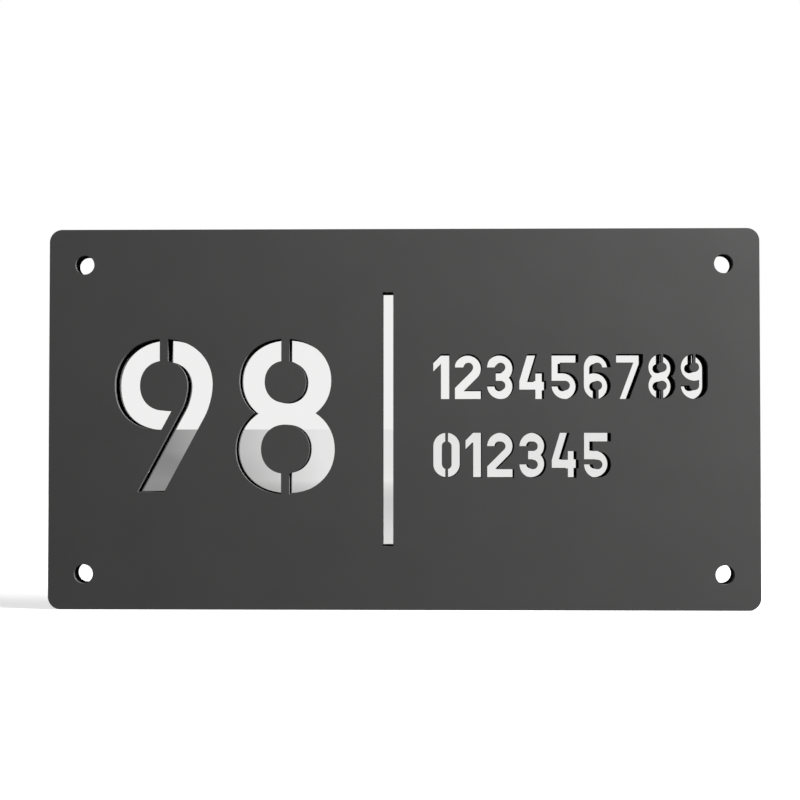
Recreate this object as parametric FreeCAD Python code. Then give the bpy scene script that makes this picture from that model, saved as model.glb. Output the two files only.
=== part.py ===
import FreeCAD, Part
import math
import os

# House number plaque: a matt front sheet with its figures cut right through, bonded to a clear sheet
# that is silvered on its back. Millimetres. X runs to the right, Z up, and the wall is the plane Y = 0,
# with the plaque standing out from it towards -Y. The origin is the middle of the back.

# Both sheets, and the silver coat on the back
WIDTH = 280.0
HEIGHT = 150.0
CORNER_RADIUS = 5.0
FRONT_THICKNESS = 3.0
MIRROR_THICKNESS = 5.0
BACKING_THICKNESS = 0.2

# Fixing holes, one near each corner, straight through every layer
HOLE_DIAMETER = 7.5
HOLE_INSET = 14.0

# The large number, left of the middle
NUMBER_MARGIN = 26.1
NUMBER_HEIGHT = 61.3
NUMBER_RISE = 1.05
NUMBER_GAP = 9.15
OVERSHOOT = 0.85
SIDE_STROKE = 10.0
CROWN_STROKE = 8.7
WAIST_STROKE = 8.5
BASE_STROKE = 8.0
NUMBER_BRIDGE = 3.2
FULLNESS = 0.585

NINE_BOWL_WIDTH = 38.8
NINE_BOWL_HEIGHT = 36.2
NINE_ISLAND_HEIGHT = 19.7
NINE_TAIL_FULLNESS = 0.65
NINE_LEG_WIDTH = 9.45
NINE_LEG_SLANT = 28.2
NINE_LEG_EASE = 6.8

EIGHT_UPPER_WIDTH = 36.3
EIGHT_UPPER_HEIGHT = 33.15
EIGHT_LOWER_WIDTH = 39.1
EIGHT_BOWL_OVERLAP = 7.05

# The dividing line between the number and the small figures, and the room on each side of it
BAR_WIDTH = 4.2
BAR_LENGTH = 100.0
NUMBER_TO_BAR = 18.85
BAR_TO_ROWS = 15.8

# Two rows of small figures. The upper row fills the room between the dividing line and the right
# margin, which sets how tall the figures are, and the shares are of that height.
UPPER_ROW = "one two three four five six seven eight nine".split()
LOWER_ROW = "zero one two three four five".split()
ROW_MARGIN = 20.4
ROW_PITCH = 31.0
ROW_RISE = 1.2
STROKE_SHARE = 0.192
GAP_SHARE = 0.119
BRIDGE_SHARE = 0.0565
SLANTED_SHARE = 0.215
ONE_WIDTH_SHARE = 0.3616
FOUR_BAR_RISE_SHARE = 0.209
FOUR_LEAN_SHARE = 0.181
FOUR_STEM_INSET_SHARE = 0.048
SEVEN_FOOT_INSET_SHARE = 0.079

# A cutting shape runs this far past what it cuts
OVERRUN = 1.0

# Worked out from the sizes above
BACKING_FRONT = -BACKING_THICKNESS
MIRROR_FRONT = BACKING_FRONT - MIRROR_THICKNESS
PANEL_FRONT = MIRROR_FRONT - FRONT_THICKNESS

NUMBER_LEFT = NUMBER_MARGIN - WIDTH / 2
NUMBER_BOTTOM = NUMBER_RISE - NUMBER_HEIGHT / 2
EIGHT_LEFT = NUMBER_LEFT + NINE_BOWL_WIDTH + NUMBER_GAP
BAR_LEFT = EIGHT_LEFT + EIGHT_LOWER_WIDTH + NUMBER_TO_BAR
ROWS_LEFT = BAR_LEFT + BAR_WIDTH + BAR_TO_ROWS
ROWS_WIDTH = WIDTH / 2 - ROW_MARGIN - ROWS_LEFT

WIDE_SHARE = (1 + STROKE_SHARE) / 2
NARROW_FIGURES = UPPER_ROW.count("one")
WIDE_FIGURES = len(UPPER_ROW) - NARROW_FIGURES
GAPS = len(UPPER_ROW) - 1
ROW_SHARES = WIDE_FIGURES * WIDE_SHARE + NARROW_FIGURES * ONE_WIDTH_SHARE + GAPS * GAP_SHARE
FIGURE_HEIGHT = ROWS_WIDTH / ROW_SHARES
FIGURE_STROKE = STROKE_SHARE * FIGURE_HEIGHT
FIGURE_GAP = GAP_SHARE * FIGURE_HEIGHT
FIGURE_BRIDGE = BRIDGE_SHARE * FIGURE_HEIGHT
SLANTED_WIDTH = SLANTED_SHARE * FIGURE_HEIGHT
FIGURE_WIDTH = WIDE_SHARE * FIGURE_HEIGHT
ONE_WIDTH = ONE_WIDTH_SHARE * FIGURE_HEIGHT
ROUND_OUTER = FIGURE_WIDTH / 2
ROUND_INNER = ROUND_OUTER - FIGURE_STROKE
LOW_ROUND = ROUND_OUTER
HIGH_ROUND = FIGURE_HEIGHT - ROUND_OUTER
MIDDLE_LOW = (FIGURE_HEIGHT - FIGURE_STROKE) / 2
MIDDLE_HIGH = (FIGURE_HEIGHT + FIGURE_STROKE) / 2


def point(x, z):
    """A point of an outline, drawn in the plane Y = 0."""
    return FreeCAD.Vector(x, 0, z)


def line(start, end):
    return Part.makeLine(point(*start), point(*end))


def bend(start, corner, end, fullness):
    """A curve that leaves start towards corner and reaches end from corner. Its two handles go the
    given share of the way to the corner: 0.55 is round, and more is squarer."""
    poles = [point(*start)]
    for tip in (start, end):
        x = tip[0] + fullness * (corner[0] - tip[0])
        z = tip[1] + fullness * (corner[1] - tip[1])
        poles.append(point(x, z))
    poles.append(point(*end))
    curve = Part.BezierCurve()
    curve.setPoles(poles)
    return curve.toShape()


def face_of(edges):
    """The flat face inside edges that follow each other round."""
    return Part.Face(Part.Wire(edges))


def polygon(*corners):
    return face_of([line(start, end) for start, end in zip(corners, corners[1:] + corners[:1])])


def box(left, bottom, right, top):
    return polygon((left, bottom), (right, bottom), (right, top), (left, top))


def oval(middle_x, middle_z, width, height):
    """A closed oval of four like quarters, a little squarer than an ellipse."""
    right = middle_x + width / 2
    left = middle_x - width / 2
    top = middle_z + height / 2
    bottom = middle_z - height / 2
    return face_of([
        bend((right, middle_z), (right, top), (middle_x, top), FULLNESS),
        bend((middle_x, top), (left, top), (left, middle_z), FULLNESS),
        bend((left, middle_z), (left, bottom), (middle_x, bottom), FULLNESS),
        bend((middle_x, bottom), (right, bottom), (right, middle_z), FULLNESS),
    ])


def arc_edge(middle, radius, start, end):
    """An arc that runs counter-clockwise, seen from the front, between angles from +X in degrees."""
    return Part.makeCircle(radius, middle, FreeCAD.Vector(0, -1, 0), start, end)


def disc(middle_x, middle_z, radius, start=0.0, end=360.0):
    """A disc, or the slice of one from start to end."""
    middle = point(middle_x, middle_z)
    arc = arc_edge(middle, radius, start, end)
    if end - start == 360.0:
        return face_of([arc])
    first = arc.valueAt(arc.FirstParameter)
    last = arc.valueAt(arc.LastParameter)
    return face_of([Part.makeLine(middle, first), arc, Part.makeLine(last, middle)])


def round_stroke(middle_x, middle_z, start=0.0, end=360.0):
    """The round stroke of a small figure, or the stretch of it from start to end."""
    outer = disc(middle_x, middle_z, ROUND_OUTER, start, end)
    return outer.cut(disc(middle_x, middle_z, ROUND_INNER))


def joined(faces):
    """One outline from overlapping ones, with no seams left inside it."""
    return faces[0].multiFuse(faces[1:]).removeSplitter()


def nine(left, bottom):
    """The large nine: a bowl whose right side runs on as a straight slanted leg. Two bridges hold the
    island in the bowl, one upright at the crown and one along the leg."""
    right = left + NINE_BOWL_WIDTH
    top = bottom + NUMBER_HEIGHT
    middle_x = left + NINE_BOWL_WIDTH / 2
    middle_z = top - NINE_BOWL_HEIGHT / 2
    bowl_bottom = top - NINE_BOWL_HEIGHT
    foot = bottom + OVERSHOOT
    slant = math.radians(NINE_LEG_SLANT)
    leg_level_width = NINE_LEG_WIDTH / math.cos(slant)
    bridge_level_width = NUMBER_BRIDGE / math.cos(slant)

    # The leg's right edge meets the upright side of the bowl at this corner
    outer_corner = (right, middle_z - NINE_LEG_EASE)

    def leg_right(z):
        return right + (z - outer_corner[1]) * math.tan(slant)

    def leg_left(z):
        return leg_right(z) - leg_level_width

    def tangent_point(corner, reach):
        """The point down the leg at the given distance from a corner."""
        return (corner[0] - reach * math.sin(slant), corner[1] - reach * math.cos(slant))

    outer_end = tangent_point(outer_corner, NINE_LEG_EASE)
    outline = face_of([
        line((leg_right(foot), foot), outer_end),
        bend(outer_end, outer_corner, (right, middle_z), FULLNESS),
        bend((right, middle_z), (right, top), (middle_x, top), FULLNESS),
        bend((middle_x, top), (left, top), (left, middle_z), FULLNESS),
        bend((left, middle_z), (left, bowl_bottom), (middle_x, bowl_bottom), NINE_TAIL_FULLNESS),
        line((middle_x, bowl_bottom), (leg_left(bowl_bottom), bowl_bottom)),
        line((leg_left(bowl_bottom), bowl_bottom), (leg_left(foot), foot)),
        line((leg_left(foot), foot), (leg_right(foot), foot)),
    ])

    island_left = left + SIDE_STROKE
    island_right = right - SIDE_STROKE
    island_top = top - CROWN_STROKE
    island_bottom = island_top - NINE_ISLAND_HEIGHT
    island_z = (island_top + island_bottom) / 2
    inner_corner_z = outer_corner[1] + (leg_level_width - SIDE_STROKE) / math.tan(slant)
    inner_corner = (island_right, inner_corner_z)
    inner_end = tangent_point(inner_corner, island_z - inner_corner_z)
    tip_x = leg_left(island_bottom) - bridge_level_width
    island = face_of([
        bend((island_right, island_z), (island_right, island_top), (middle_x, island_top), FULLNESS),
        bend((middle_x, island_top), (island_left, island_top), (island_left, island_z), FULLNESS),
        bend((island_left, island_z), (island_left, island_bottom), (middle_x, island_bottom), FULLNESS),
        line((middle_x, island_bottom), (tip_x, island_bottom)),
        line((tip_x, island_bottom), (leg_left(foot) - bridge_level_width, foot)),
        line((leg_left(foot) - bridge_level_width, foot), (leg_left(foot), foot)),
        line((leg_left(foot), foot), inner_end),
        bend(inner_end, inner_corner, (island_right, island_z), FULLNESS),
    ])
    crown_bridge = upright_bridge(middle_x, island_z, top + OVERRUN)
    return outline.cut(island).cut(crown_bridge)


def upright_bridge(middle_x, bottom, top):
    half = NUMBER_BRIDGE / 2
    return box(middle_x - half, bottom, middle_x + half, top)


def eight(left, bottom):
    """The large eight: two overlapping ovals round two islands, each held by an upright bridge."""
    top = bottom + NUMBER_HEIGHT
    lower_height = NUMBER_HEIGHT + EIGHT_BOWL_OVERLAP - EIGHT_UPPER_HEIGHT
    middle_x = left + EIGHT_LOWER_WIDTH / 2
    upper_z = top - EIGHT_UPPER_HEIGHT / 2
    lower_z = bottom + lower_height / 2
    outline = joined([
        oval(middle_x, upper_z, EIGHT_UPPER_WIDTH, EIGHT_UPPER_HEIGHT),
        oval(middle_x, lower_z, EIGHT_LOWER_WIDTH, lower_height),
    ])
    waist_z = bottom + lower_height - EIGHT_BOWL_OVERLAP / 2
    islands = []
    for width, low, high in (
        (EIGHT_UPPER_WIDTH, waist_z + WAIST_STROKE / 2, top - CROWN_STROKE),
        (EIGHT_LOWER_WIDTH, bottom + BASE_STROKE, waist_z - WAIST_STROKE / 2),
    ):
        islands.append(oval(middle_x, (low + high) / 2, width - 2 * SIDE_STROKE, high - low))
    bridges = [
        upright_bridge(middle_x, upper_z, top + OVERRUN),
        upright_bridge(middle_x, bottom - OVERRUN, lower_z),
    ]
    return outline.cut(islands).cut(bridges)


def small_bridge(bottom, top):
    """The narrow web that holds the island of a closed small figure."""
    half = FIGURE_BRIDGE / 2
    return box(ROUND_OUTER - half, bottom, ROUND_OUTER + half, top)


def small_zero():
    whole = joined([
        box(0, LOW_ROUND, FIGURE_STROKE, HIGH_ROUND),
        box(FIGURE_WIDTH - FIGURE_STROKE, LOW_ROUND, FIGURE_WIDTH, HIGH_ROUND),
        round_stroke(ROUND_OUTER, HIGH_ROUND, 0, 180),
        round_stroke(ROUND_OUTER, LOW_ROUND, 180, 360),
    ])
    return whole.cut(small_bridge(-OVERRUN, FIGURE_HEIGHT + OVERRUN))


def small_one():
    """A stem with a flag that falls away from its top at 45 degrees."""
    stem_left = ONE_WIDTH - FIGURE_STROKE
    flag = polygon(
        (stem_left, FIGURE_HEIGHT),
        (0, FIGURE_HEIGHT - stem_left),
        (0, FIGURE_HEIGHT - stem_left - SLANTED_WIDTH),
        (stem_left, FIGURE_HEIGHT - SLANTED_WIDTH),
    )
    return joined([box(stem_left, 0, ONE_WIDTH, FIGURE_HEIGHT), flag])


def small_two():
    """An arch that runs into a stroke at 45 degrees, on a level foot."""
    share = math.sqrt(0.5)
    outer = (ROUND_OUTER + share * ROUND_OUTER, HIGH_ROUND - share * ROUND_OUTER)
    inner = (ROUND_OUTER + share * ROUND_INNER, HIGH_ROUND - share * ROUND_INNER)
    stroke = polygon(
        inner,
        outer,
        (outer[0] - outer[1] + FIGURE_STROKE, FIGURE_STROKE),
        (0, FIGURE_STROKE),
        (0, inner[1] - inner[0]),
    )
    foot = box(0, 0, FIGURE_WIDTH, FIGURE_STROKE)
    return joined([round_stroke(ROUND_OUTER, HIGH_ROUND, -45, 180), stroke, foot])


def small_three():
    return joined([
        round_stroke(ROUND_OUTER, HIGH_ROUND, -90, 180),
        round_stroke(ROUND_OUTER, LOW_ROUND, 180, 450),
        box(FIGURE_STROKE, MIDDLE_LOW, ROUND_OUTER, MIDDLE_HIGH),
    ])


def small_four():
    """An open four: its slanted stroke and its short stem don't meet, so it needs no bridge."""
    bar_bottom = FOUR_BAR_RISE_SHARE * FIGURE_HEIGHT
    bar_top = bar_bottom + FIGURE_STROKE
    lean = FOUR_LEAN_SHARE * FIGURE_HEIGHT
    stem_right = FIGURE_WIDTH - FOUR_STEM_INSET_SHARE * FIGURE_HEIGHT
    slanted = polygon(
        (0, bar_bottom),
        (SLANTED_WIDTH, bar_bottom),
        (SLANTED_WIDTH, bar_top),
        (SLANTED_WIDTH + lean, FIGURE_HEIGHT),
        (lean, FIGURE_HEIGHT),
        (0, bar_top),
    )
    bar = box(0, bar_bottom, FIGURE_WIDTH, bar_top)
    stem = box(stem_right - FIGURE_STROKE, 0, stem_right, bar_top + FIGURE_STROKE)
    return joined([slanted, bar, stem])


def small_five():
    return joined([
        box(0, MIDDLE_LOW, FIGURE_STROKE, FIGURE_HEIGHT),
        box(0, FIGURE_HEIGHT - FIGURE_STROKE, FIGURE_WIDTH, FIGURE_HEIGHT),
        box(0, MIDDLE_LOW, ROUND_OUTER, MIDDLE_HIGH),
        round_stroke(ROUND_OUTER, LOW_ROUND, 180, 450),
    ])


def small_six():
    whole = joined([
        box(0, LOW_ROUND, FIGURE_STROKE, HIGH_ROUND),
        round_stroke(ROUND_OUTER, HIGH_ROUND, 0, 180),
        round_stroke(ROUND_OUTER, LOW_ROUND),
    ])
    return whole.cut(small_bridge(-OVERRUN, LOW_ROUND))


def small_seven():
    crown_bottom = FIGURE_HEIGHT - FIGURE_STROKE
    foot_left = SEVEN_FOOT_INSET_SHARE * FIGURE_HEIGHT
    slanted = polygon(
        (FIGURE_WIDTH, crown_bottom),
        (FIGURE_WIDTH - SLANTED_WIDTH, crown_bottom),
        (foot_left, 0),
        (foot_left + SLANTED_WIDTH, 0),
    )
    return joined([box(0, crown_bottom, FIGURE_WIDTH, FIGURE_HEIGHT), slanted])


def small_eight():
    whole = joined([
        round_stroke(ROUND_OUTER, LOW_ROUND),
        round_stroke(ROUND_OUTER, HIGH_ROUND),
    ])
    return whole.cut([
        small_bridge(-OVERRUN, LOW_ROUND),
        small_bridge(HIGH_ROUND, FIGURE_HEIGHT + OVERRUN),
    ])


def small_nine():
    """The small six turned half round."""
    turned = small_six()
    turned.rotate(point(FIGURE_WIDTH / 2, FIGURE_HEIGHT / 2), FreeCAD.Vector(0, 1, 0), 180)
    return turned


SMALL_FIGURES = {
    "zero": small_zero,
    "one": small_one,
    "two": small_two,
    "three": small_three,
    "four": small_four,
    "five": small_five,
    "six": small_six,
    "seven": small_seven,
    "eight": small_eight,
    "nine": small_nine,
}


def row_of_figures(row, bottom):
    """The small figures of one row, side by side from the left."""
    faces = []
    left = ROWS_LEFT
    for name in row:
        face = SMALL_FIGURES[name]()
        face.translate(point(left, bottom))
        faces.append(face)
        left += FIGURE_GAP + (ONE_WIDTH if name == "one" else FIGURE_WIDTH)
    return faces


def openings():
    """The flat outline of every opening that goes through the front sheet alone."""
    upper_bottom = ROW_RISE + (ROW_PITCH - FIGURE_HEIGHT) / 2
    return [
        nine(NUMBER_LEFT, NUMBER_BOTTOM),
        eight(EIGHT_LEFT, NUMBER_BOTTOM),
        box(BAR_LEFT, -BAR_LENGTH / 2, BAR_LEFT + BAR_WIDTH, BAR_LENGTH / 2),
        *row_of_figures(UPPER_ROW, upper_bottom),
        *row_of_figures(LOWER_ROW, upper_bottom - ROW_PITCH),
    ]


def sheet(front, thickness):
    """A flat layer with round corners and the four fixing holes. Its front is the plane Y = front."""
    reach_x = WIDTH / 2 - CORNER_RADIUS
    reach_z = HEIGHT / 2 - CORNER_RADIUS
    corners = []
    for side_x, side_z, start in ((1, 1, 0), (-1, 1, 90), (-1, -1, 180), (1, -1, 270)):
        middle = point(side_x * reach_x, side_z * reach_z)
        corners.append(arc_edge(middle, CORNER_RADIUS, start, start + 90))
    edges = []
    for corner, following in zip(corners, corners[1:] + corners[:1]):
        edges.append(corner)
        edges.append(Part.makeLine(corner.valueAt(corner.LastParameter),
                                   following.valueAt(following.FirstParameter)))
    solid = face_of(edges).extrude(FreeCAD.Vector(0, thickness, 0))
    solid.translate(FreeCAD.Vector(0, front, 0))

    hole_x = WIDTH / 2 - HOLE_INSET
    hole_z = HEIGHT / 2 - HOLE_INSET
    drills = []
    for x in (-hole_x, hole_x):
        for z in (-hole_z, hole_z):
            start = FreeCAD.Vector(x, front - OVERRUN, z)
            length = thickness + 2 * OVERRUN
            drills.append(Part.makeCylinder(HOLE_DIAMETER / 2, length, start, FreeCAD.Vector(0, 1, 0)))
    return solid.cut(drills)


def front_panel():
    """The matt sheet with its openings cut right through. Every edge is square, as a laser leaves it."""
    cutters = []
    for outline in openings():
        cutter = outline.extrude(FreeCAD.Vector(0, FRONT_THICKNESS + 2 * OVERRUN, 0))
        cutter.translate(FreeCAD.Vector(0, PANEL_FRONT - OVERRUN, 0))
        cutters.append(cutter)
    return sheet(PANEL_FRONT, FRONT_THICKNESS).cut(cutters)


def save(name, shape):
    """Writes one piece and prints what shows that it is sound."""
    solids = shape.Solids
    piece = solids[0] if len(solids) == 1 else Part.makeCompound(solids)
    print(name, len(solids), "solid", piece.isValid(), round(piece.Volume, 1), "mm3")
    piece.exportStep("parts/" + name + ".step")


os.makedirs("parts", exist_ok=True)
save("front_panel", front_panel())
save("mirror_panel", sheet(MIRROR_FRONT, MIRROR_THICKNESS))
save("mirror_backing", sheet(BACKING_FRONT, BACKING_THICKNESS))
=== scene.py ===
import math

import bmesh
import bpy
import numpy as np
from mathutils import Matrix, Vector


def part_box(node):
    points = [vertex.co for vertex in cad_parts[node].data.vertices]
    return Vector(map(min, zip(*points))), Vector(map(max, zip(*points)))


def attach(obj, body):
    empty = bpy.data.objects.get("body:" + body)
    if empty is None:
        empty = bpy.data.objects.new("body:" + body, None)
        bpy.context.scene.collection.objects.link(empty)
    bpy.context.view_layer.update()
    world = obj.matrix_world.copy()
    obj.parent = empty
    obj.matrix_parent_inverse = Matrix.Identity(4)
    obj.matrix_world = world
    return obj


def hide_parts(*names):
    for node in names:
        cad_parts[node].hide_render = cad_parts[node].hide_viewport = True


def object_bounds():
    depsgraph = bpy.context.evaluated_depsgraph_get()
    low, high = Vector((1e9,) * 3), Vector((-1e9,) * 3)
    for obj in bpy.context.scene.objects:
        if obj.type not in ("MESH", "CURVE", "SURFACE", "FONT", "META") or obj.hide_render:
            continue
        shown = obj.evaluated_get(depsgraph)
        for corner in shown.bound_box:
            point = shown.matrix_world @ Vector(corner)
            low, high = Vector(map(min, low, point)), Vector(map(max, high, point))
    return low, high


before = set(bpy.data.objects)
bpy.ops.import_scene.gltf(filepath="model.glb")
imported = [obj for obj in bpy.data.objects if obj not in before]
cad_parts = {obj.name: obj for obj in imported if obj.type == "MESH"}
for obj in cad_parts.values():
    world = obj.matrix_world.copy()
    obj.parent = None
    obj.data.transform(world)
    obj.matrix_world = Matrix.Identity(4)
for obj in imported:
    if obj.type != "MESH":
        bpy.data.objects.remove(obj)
cad_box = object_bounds()


# Front panel. A 3 mm sheet of cast acrylic, dark grey all through, with a matt face. A laser cuts its
# outline, the four holes and the stencil figures. The edges are square, and the walls of the cuts have no
# gloss and show fine lines that run through the thickness.
CORNER_RADIUS = 0.005
RIM_DEPTH = 0.0005
ACRYLIC_IOR = 1.49
LASER_LINE_DEPTH = 0.00002


def grey(tone):
    return (tone, tone, tone, 1)


def add_node(tree, kind, inputs=None, **settings):
    """One shader node, with its settings, and with the constant value or the link of each input."""
    node = tree.nodes.new("ShaderNode" + kind)
    for name, value in settings.items():
        setattr(node, name, value)
    for name, value in (inputs or {}).items():
        if isinstance(value, bpy.types.NodeSocket):
            tree.links.new(value, node.inputs[name])
        else:
            node.inputs[name].default_value = value
    return node


def calculate(tree, operation, *values):
    """The result of one operation on numbers or sockets."""
    return add_node(tree, "Math", dict(enumerate(values)), operation=operation).outputs[0]


def rescale(tree, value, source, target=(0.0, 1.0), **settings):
    """Takes a value from the range source to the range target, and stops at both ends of it."""
    limits = dict(zip(("From Min", "From Max", "To Min", "To Max"), (*source, *target)))
    return add_node(tree, "MapRange", {"Value": value, **limits}, **settings).outputs[0]


def blend(tree, share, first, second):
    """A number: the first one where share is 0, and the second one where it is 1."""
    return add_node(tree, "Mix", {0: share, 2: first, 3: second}).outputs[0]


def blend_colours(tree, share, first, second):
    """A colour: the first one where share is 0, and the second one where it is 1."""
    return add_node(tree, "Mix", {0: share, 6: first, 7: second}, data_type="RGBA").outputs[2]


def relief(tree, height, strength, depth):
    """The normals of a surface whose height varies by the given depth in metres."""
    return add_node(tree, "Bump", {"Height": height, "Strength": strength, "Distance": depth}).outputs[0]


def new_group(name, inputs, outputs):
    """An empty node group with number sockets, and its input and output nodes."""
    group = bpy.data.node_groups.new(name, "ShaderNodeTree")
    for socket, value in inputs.items():
        made = group.interface.new_socket(socket, in_out="INPUT", socket_type="NodeSocketFloat")
        made.default_value = value
    for socket in outputs:
        group.interface.new_socket(socket, in_out="OUTPUT", socket_type="NodeSocketFloat")
    return group, group.nodes.new("NodeGroupInput"), group.nodes.new("NodeGroupOutput")


def laser_marks_group():
    """Wall is 1 on walls that run through the thickness and 0 on the faces. Lines is noise that is drawn
    out along Y, so that it reads as lines down the wall."""
    group, given, result = new_group("laser_marks", {"Lines per metre": 5000.0}, ["Wall", "Lines"])
    place = add_node(group, "TexCoord")
    facing = add_node(group, "SeparateXYZ", {0: place.outputs["Normal"]})
    wall = rescale(group, calculate(group, "ABSOLUTE", facing.outputs["Y"]), (0.6, 0.3),
                   interpolation_type="SMOOTHSTEP")
    across_lines = given.outputs["Lines per metre"]
    along_lines = 60.0
    drawn_out = add_node(group, "CombineXYZ", {"X": across_lines, "Y": along_lines, "Z": across_lines})
    stretched = add_node(group, "VectorMath", {0: place.outputs["Object"], 1: drawn_out.outputs[0]},
                         operation="MULTIPLY")
    lines = add_node(group, "TexNoise", {"Vector": stretched.outputs[0], "Scale": 1.0, "Detail": 2.0})
    group.links.new(wall, result.inputs["Wall"])
    group.links.new(lines.outputs[0], result.inputs["Lines"])
    return group


def soft_patches_group():
    """Wide, soft, uneven patches between 0 and 1, as a cast or sprayed surface has them."""
    group, given, result = new_group("soft_patches", {"Patches per metre": 60.0}, ["Patch"])
    place = add_node(group, "TexCoord")
    noise = add_node(group, "TexNoise", {"Vector": place.outputs["Object"],
                                         "Scale": given.outputs["Patches per metre"],
                                         "Detail": 3.0, "Roughness": 0.55})
    group.links.new(rescale(group, noise.outputs[0], (0.3, 0.7)), result.inputs["Patch"])
    return group


LASER_MARKS = laser_marks_group()
SOFT_PATCHES = soft_patches_group()


def new_material(name, constants):
    """A material with its node tree and its Principled shader, which gets the constants on its sockets."""
    material = bpy.data.materials.new(name)
    material.use_nodes = True
    shader = material.node_tree.nodes["Principled BSDF"]
    for socket, value in constants.items():
        shader.inputs[socket].default_value = value
    return material, material.node_tree, shader


def connect(tree, shader, sources):
    """Feeds each named input of the shader."""
    for name, source in sources.items():
        tree.links.new(source, shader.inputs[name])


def matt_acrylic():
    """Dark grey with soft patches of tone and a fine frosted grain. The outer rim has laser lines."""
    material, tree, shader = new_material("matt_acrylic", {"IOR": ACRYLIC_IOR, "Specular IOR Level": 0.22})
    patch = add_node(tree, "Group", {"Patches per metre": 45.0}, node_tree=SOFT_PATCHES).outputs["Patch"]
    marks = add_node(tree, "Group", {"Lines per metre": 5000.0}, node_tree=LASER_MARKS)
    place = add_node(tree, "TexCoord")
    grain = add_node(tree, "TexNoise", {"Vector": place.outputs["Object"], "Scale": 4500.0, "Detail": 3.0})

    satin = rescale(tree, patch, (0.0, 1.0), (0.50, 0.54))
    height = blend(tree, marks.outputs["Wall"], grain.outputs[0], marks.outputs["Lines"])
    connect(tree, shader, {
        "Base Color": blend_colours(tree, patch, (0.045, 0.045, 0.0445, 1), (0.048, 0.048, 0.0475, 1)),
        "Roughness": blend(tree, marks.outputs["Wall"], satin, 0.4),
        "Normal": relief(tree, height, 0.35, LASER_LINE_DEPTH),
    })
    return material


def laser_wall(name, darkest, lightest):
    """The dull wall of a cut, with a grey that varies along its fine lines between the two given ones."""
    material, tree, shader = new_material(name, {"Roughness": 0.9, "Specular IOR Level": 0.0})
    lines = add_node(tree, "Group", {"Lines per metre": 5000.0}, node_tree=LASER_MARKS).outputs["Lines"]
    connect(tree, shader, {
        "Base Color": blend_colours(tree, lines, grey(darkest), grey(lightest)),
        "Normal": relief(tree, lines, 0.3, LASER_LINE_DEPTH),
    })
    return material


def shade_painted_back():
    """The back face, painted nearly black: painted shade for the underside, which shows nearly black
    through the mirror.
    """
    material, tree, shader = new_material("shade_painted_back", {"Specular IOR Level": 0.0})
    patch = add_node(tree, "Group", {"Patches per metre": 60.0}, node_tree=SOFT_PATCHES).outputs["Patch"]
    connect(tree, shader, {"Base Color": blend_colours(tree, patch, grey(0.008), grey(0.012))})
    return material


def rows_of_three(items, name):
    """The named vector of every item, one row each."""
    numbers = np.empty(len(items) * 3, np.float32)
    items.foreach_get(name, numbers)
    return numbers.reshape(-1, 3)


def depth_inside(x, z):
    """How far points lie inside the plaque's outline, a rectangle with round corners. It is the corner
    radius less the distance from the rectangle that joins the corners' centres, negative inside that."""
    across = np.abs(x) - cad_box[1][0] + CORNER_RADIUS
    up = np.abs(z) - cad_box[1][2] + CORNER_RADIUS
    distance = np.hypot(np.maximum(across, 0), np.maximum(up, 0)) + np.minimum(np.maximum(across, up), 0)
    return CORNER_RADIUS - distance


def dress(mesh, face, cut=None, back=None):
    """Gives a mesh one material and, where they are named, a second one for the walls of its cuts and a
    third one for its back. A wall that is no deeper inside the outline than RIM_DEPTH is the rim, which
    keeps the first."""
    mesh.materials.clear()
    for material in filter(None, (face, cut, back)):
        mesh.materials.append(material)
    along_y = rows_of_three(mesh.polygons, "normal")[:, 1]
    centres = rows_of_three(mesh.polygons, "center")
    slots = np.zeros(len(mesh.polygons), np.int32)
    if cut:
        inner = depth_inside(centres[:, 0], centres[:, 2]) > RIM_DEPTH
        slots[inner & (np.abs(along_y) < 0.5)] = mesh.materials.find(cut.name)
    if back:
        slots[along_y > 0.5] = mesh.materials.find(back.name)
    mesh.polygons.foreach_set("material_index", slots)


# The panel's back face is painted nearly black, as painted shade.
dress(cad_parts["front_panel"].data, matt_acrylic(), cut=laser_wall("laser_wall", 0.065, 0.10),
      back=shade_painted_back())


# Clear sheet. 5 mm of clear cast acrylic with the front panel's outline, bonded behind it. It is a copy
# of its own CAD solid that bites 0.02 mm into the panel in front and the silver behind, as a bond does,
# so that no two faces share a plane. Its rim is clear, and the walls of its holes are painted near black,
# as painted shade.
BOND_BITE = 0.00002
SAME_PLACE = 1e-7


def add_object(name, data):
    """An object in the scene with the given mesh, lamp or camera."""
    added = bpy.data.objects.new(name, data)
    bpy.context.scene.collection.objects.link(added)
    return added


def bonded_sheet():
    """The CAD solid's mesh, merged, with its front and back faces each moved out into the bond."""
    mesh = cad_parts["mirror_panel"].data.copy()
    shell = bmesh.new()
    shell.from_mesh(mesh)
    bmesh.ops.remove_doubles(shell, verts=shell.verts, dist=SAME_PLACE)
    shell.to_mesh(mesh)
    shell.free()
    front, back = (corner[1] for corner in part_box("mirror_panel"))
    places = rows_of_three(mesh.vertices, "co")
    in_front = places[:, 1] < (front + back) / 2
    places[:, 1] = np.where(in_front, front - BOND_BITE, back + BOND_BITE)
    mesh.vertices.foreach_set("co", places.ravel())
    mesh.update()
    return add_object("clear_sheet", mesh)


def clear_acrylic():
    """Clear, with polished faces and a faintly lined rim. Its faces reflect at a slant and not head-on, so
    that the dark bands beside the cuts stay dark."""
    material, tree, shader = new_material("clear_acrylic", {
        "Base Color": (0.985, 0.99, 0.988, 1), "IOR": ACRYLIC_IOR, "Specular Tint": grey(0.0),
        "Transmission Weight": 1.0,
    })
    marks = add_node(tree, "Group", {"Lines per metre": 3000.0}, node_tree=LASER_MARKS)
    lines = calculate(tree, "MULTIPLY", marks.outputs["Wall"], marks.outputs["Lines"])
    connect(tree, shader, {
        "Roughness": calculate(tree, "MULTIPLY", marks.outputs["Wall"], 0.08),
        "Normal": relief(tree, lines, 0.25, LASER_LINE_DEPTH),
    })
    return material


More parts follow.
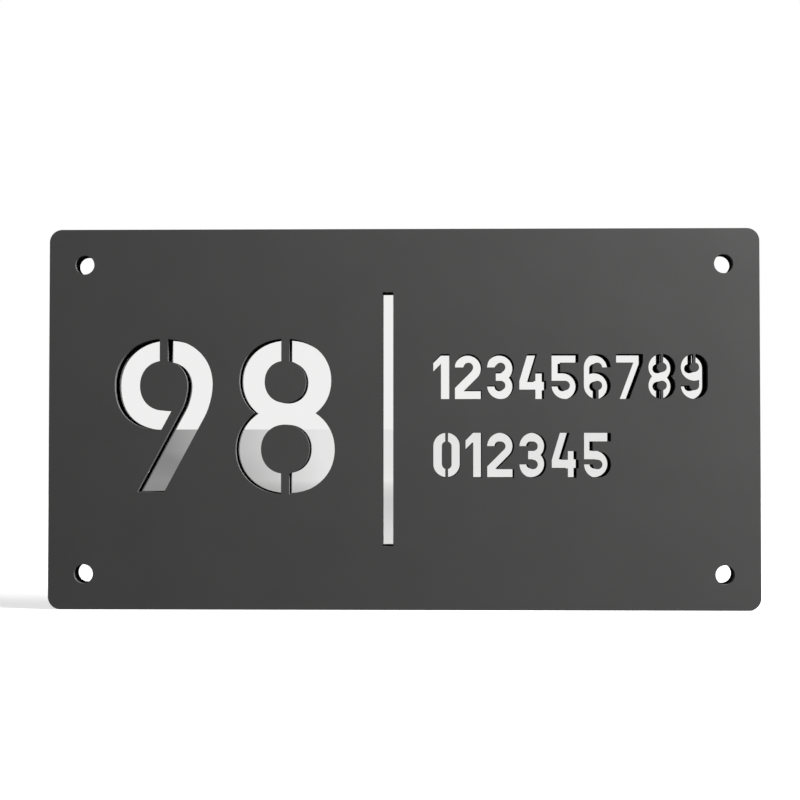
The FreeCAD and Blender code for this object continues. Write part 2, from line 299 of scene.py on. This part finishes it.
clear_sheet = bonded_sheet()
# The walls of the holes get a near-black grey: painted shade.
dress(clear_sheet.data, clear_acrylic(), cut=laser_wall("shade_painted_hole_wall", 0.008, 0.025))
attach(clear_sheet, "root")
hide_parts("mirror_panel")


# Silver coat. A film of silver on the back of the clear sheet makes it a mirror. A grey protective paint is
# sprayed over the silver, and is all that shows from behind.

def silver_and_paint():
    """Bright metal where the surface faces the clear sheet, and grey paint everywhere else."""
    material, tree, shader = new_material("silver_and_paint", {})
    patch = add_node(tree, "Group", {"Patches per metre": 60.0}, node_tree=SOFT_PATCHES).outputs["Patch"]
    place = add_node(tree, "TexCoord")
    facing = add_node(tree, "SeparateXYZ", {0: place.outputs["Normal"]})
    silver = calculate(tree, "LESS_THAN", facing.outputs["Y"], -0.5)
    orange_peel = add_node(tree, "TexNoise", {"Vector": place.outputs["Object"], "Scale": 900.0,
                                              "Detail": 2.0})

    paint = blend_colours(tree, patch, (0.31, 0.32, 0.33, 1), (0.35, 0.36, 0.37, 1))
    paint_gloss = rescale(tree, patch, (0.0, 1.0), (0.42, 0.52))
    height = blend(tree, silver, orange_peel.outputs[0], 0.0)
    connect(tree, shader, {
        "Base Color": blend_colours(tree, silver, paint, (0.875, 0.875, 0.87, 1)),
        "Metallic": silver,
        "Roughness": blend(tree, silver, paint_gloss, 0.0),
        "Normal": relief(tree, height, 0.4, 0.00005),
    })
    return material


dress(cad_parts["mirror_backing"].data, silver_and_paint())


# Studio. The plaque stands on light grey paper, under a white surround. The mirror shows the floor in front
# as a light grey that grows paler to the right, up to a low rise that is its horizon: this is a painted
# reflection, from light added to the paper only where the mirror sees it.

def floor_sheet(half_width, back, rise_start, front, level, rise):
    """A level strip from back to rise_start, and on from there a strip that slopes up by rise to front."""
    profile = [(back, level), (rise_start, level), (front, level + rise)]
    corners = [(side * half_width, y, z) for y, z in profile for side in (1, -1)]
    mesh = bpy.data.meshes.new("floor")
    mesh.from_pydata(corners, [], [(0, 1, 3, 2), (2, 3, 5, 4)])
    return add_object("floor", mesh)


def seen_directly(tree):
    """1 for what the camera sees, directly or by way of mirror or glass, and 0 for light on the object."""
    path = add_node(tree, "LightPath")
    mirrored = calculate(tree, "MAXIMUM", path.outputs["Is Camera Ray"], path.outputs["Is Glossy Ray"])
    seen = calculate(tree, "MAXIMUM", mirrored, path.outputs["Is Transmission Ray"])
    unscattered = calculate(tree, "LESS_THAN", path.outputs["Diffuse Depth"], 0.5)
    return calculate(tree, "MULTIPLY", seen, unscattered)


def floor_paper():
    """Light grey paper that takes the object's shadow. Light is added where it is seen, so that it looks
    white. Less is added near the object, and in what the mirror shows of the floor in front, where it
    falls off towards the object and to the left."""
    material, tree, shader = new_material("floor_paper", {
        "Base Color": grey(0.30), "Roughness": 1.0, "Specular IOR Level": 0.0,
    })
    place = add_node(tree, "TexCoord").outputs["Object"]
    distance = add_node(tree, "VectorMath", {0: place}, operation="LENGTH").outputs["Value"]
    plain = rescale(tree, distance, (0.2, 1.4), (0.68, 0.98))

    axes = add_node(tree, "SeparateXYZ", {0: place})
    forward = calculate(tree, "MULTIPLY", axes.outputs["Y"], -1.0)
    sideways = calculate(tree, "DIVIDE", axes.outputs["X"], calculate(tree, "MAXIMUM", forward, 0.1))
    left_to_right = rescale(tree, sideways, (-0.2, -0.08), (0.23, 0.86))
    near_to_far = rescale(tree, forward, (0.3, 1.7))
    mirrored = calculate(tree, "MULTIPLY", left_to_right, near_to_far)

    camera_ray = add_node(tree, "LightPath").outputs["Is Camera Ray"]
    added = blend(tree, camera_ray, mirrored, plain)
    glow = add_node(tree, "Emission", {"Strength": calculate(tree, "MULTIPLY", added, seen_directly(tree))})
    both = add_node(tree, "AddShader", {0: shader.outputs[0], 1: glow.outputs[0]})
    tree.links.new(both.outputs[0], tree.nodes["Material Output"].inputs["Surface"])
    return material


floor = floor_sheet(half_width=8.0, back=12.0, rise_start=-6.0, front=-8.0, level=cad_box[0][2], rise=0.105)
floor.data.materials.append(floor_paper())
floor.visible_diffuse = False

world = bpy.data.worlds.new("studio")
bpy.context.scene.world = world
world.use_nodes = True
surround = world.node_tree
fill = surround.nodes["Background"]
fill.inputs["Color"].default_value = grey(1.0)
fill.inputs["Strength"].default_value = 0.14
white = add_node(surround, "Background", {"Color": grey(1.0), "Strength": 1.0})
fill_or_white = add_node(surround, "MixShader", {0: seen_directly(surround), 1: fill.outputs[0],
                                                 2: white.outputs[0]})
surround.links.new(fill_or_white.outputs[0], surround.nodes["World Output"].inputs["Surface"])


def soft_box(name, place, width, power):
    """A square area lamp that is turned to the middle of the plaque's back."""
    lamp = bpy.data.lights.new(name, "AREA")
    lamp.shape = "SQUARE"
    lamp.size = width
    lamp.energy = power
    holder = add_object(name, lamp)
    holder.location = place
    holder.rotation_euler = (-Vector(place)).to_track_quat("-Z", "Y").to_euler()
    holder.visible_camera = False


soft_box("key_light", place=(0.70, -0.178, 0.55), width=0.25, power=39.0)
soft_box("back_light", place=(0, 1.1, 0.15), width=0.3, power=7.5)


# Camera. It looks at the plaque from straight ahead, from just under the middle and a little to the right,
# and is turned slightly up and to the left.
lens = bpy.data.cameras.new("camera")
lens.sensor_width = 36.0
lens.lens = 66.55
camera = add_object("camera", lens)
camera.location = (0.010736, -0.589962, -0.006621)
camera.rotation_euler = (math.radians(91.3863), 0.0, math.radians(1.1692))
bpy.context.scene.camera = camera
bpy.context.scene.view_settings.view_transform = "Standard"
